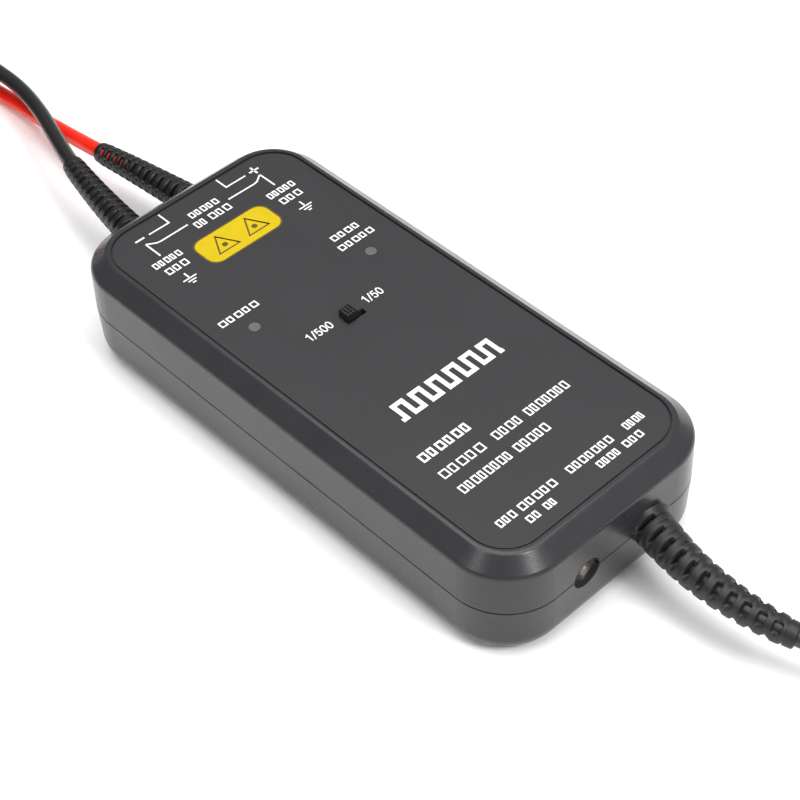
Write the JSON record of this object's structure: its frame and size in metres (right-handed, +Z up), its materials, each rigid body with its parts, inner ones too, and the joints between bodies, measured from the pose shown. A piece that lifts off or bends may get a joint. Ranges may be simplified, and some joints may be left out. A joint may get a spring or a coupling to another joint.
{
  "type": "oscilloscope probe",
  "caption": "Flat high-voltage isolating probe box with a range slider, two lights, slotted bend reliefs, two shrouded test leads and an output cable with a bayonet plug.",
  "frame": {"origin": "middle of the underside of the box", "axes": "+X along the box from the input leads to the output cable, +Z up out of the printed panel"},
  "size_m": [0.448, 0.055, 0.0257],
  "materials": {
    "case_plastic": "fine-textured moulded ABS, dark grey",
    "panel_film": "printed polycarbonate film, satin dark grey",
    "soft_black": "moulded soft PVC, satin black",
    "red_silicone": "soft silicone sleeve, red",
    "black_silicone": "soft silicone sleeve, black",
    "coax_jacket": "PVC jacket, black",
    "red_plastic": "moulded nylon, red",
    "black_plastic": "moulded nylon, black",
    "knob_plastic": "moulded nylon, black",
    "nickel": "bright nickel plate",
    "gold_plate": "thin gold plate",
    "zinc_screw": "zinc-plated steel",
    "tinned_copper": "tinned copper",
    "board_laminate": "green solder mask",
    "resistor_body": "blue lacquer",
    "chip_epoxy": "black moulding compound",
    "component_body": "ceramic",
    "capacitor_can": "aluminium can",
    "ferrite": "ferrite",
    "screen_steel": "tin-plated sheet steel",
    "trimmer_blue": "blue moulded body",
    "lens_grey": "diffusing resin, pale grey when off",
    "ptfe": "white PTFE"
  },
  "bodies": {
    "probe": {"lower_shell": "case_plastic", "upper_shell": "case_plastic", "front_panel": "panel_film", "case_screws": "zinc_screw", "board_screws": "zinc_screw", "circuit_board": "board_laminate", "positive_divider_resistors": "resistor_body", "negative_divider_resistors": "resistor_body", "positive_input_wire": "tinned_copper", "negative_input_wire": "tinned_copper", "output_wire": "tinned_copper", "input_screen": "screen_steel", "trimmer_bodies": "trimmer_blue", "amplifier_chips": "chip_epoxy", "small_components": "component_body", "storage_capacitors": "capacitor_can", "power_choke": "ferrite", "power_light": "lens_grey", "overrange_light": "lens_grey", "light_spacers": "knob_plastic", "switch_frame": "screen_steel", "switch_base": "chip_epoxy", "switch_terminals": "tinned_copper", "power_socket_housing": "knob_plastic", "power_socket_sleeve": "nickel", "power_socket_pin": "nickel", "positive_boot": "soft_black", "negative_boot": "soft_black", "output_boot": "soft_black", "positive_lead": "red_silicone", "positive_lead_coil": "red_silicone", "positive_lead_tail": "red_silicone", "negative_lead": "black_silicone", "negative_lead_coil": "black_silicone", "negative_lead_tail": "black_silicone", "output_cable": "coax_jacket", "output_cable_coil": "coax_jacket", "output_cable_tail": "coax_jacket", "positive_plug_grip": "red_plastic", "negative_plug_grip": "black_plastic", "positive_plug_pin": "nickel", "negative_plug_pin": "nickel", "bnc_boot": "soft_black", "bnc_body": "nickel", "bnc_insulator": "ptfe", "bnc_pin": "gold_plate"},
    "range_slide": {"range_slider": "knob_plastic", "switch_lever": "knob_plastic", "switch_wiper": "gold_plate"},
    "gain_rotor": {"gain_trimmer_rotor": "nickel"},
    "balance_rotor": {"balance_trimmer_rotor": "nickel"},
    "bayonet_nut": {"bnc_nut": "nickel"}
  },
  "joints": [
    {"name": "range_slide_travel", "type": "slide", "parent": "probe", "child": "range_slide", "axis": [0, 1, 0], "range_m": [0, 0.002]},
    {"name": "gain_adjust", "type": "hinge", "parent": "probe", "child": "gain_rotor", "pos_m": [0.004, -0.01, 0.0075], "axis": [0, 0, 1], "range_deg": [-135, 135]},
    {"name": "balance_adjust", "type": "hinge", "parent": "probe", "child": "balance_rotor", "pos_m": [0.004, 0.01, 0.0075], "axis": [0, 0, 1], "range_deg": [-135, 135]},
    {"name": "bayonet_nut_turn", "type": "hinge", "parent": "probe", "child": "bayonet_nut", "pos_m": [0.205, 0.02, 0.0075], "axis": [1, 0, 0], "continuous": true}
  ]
}
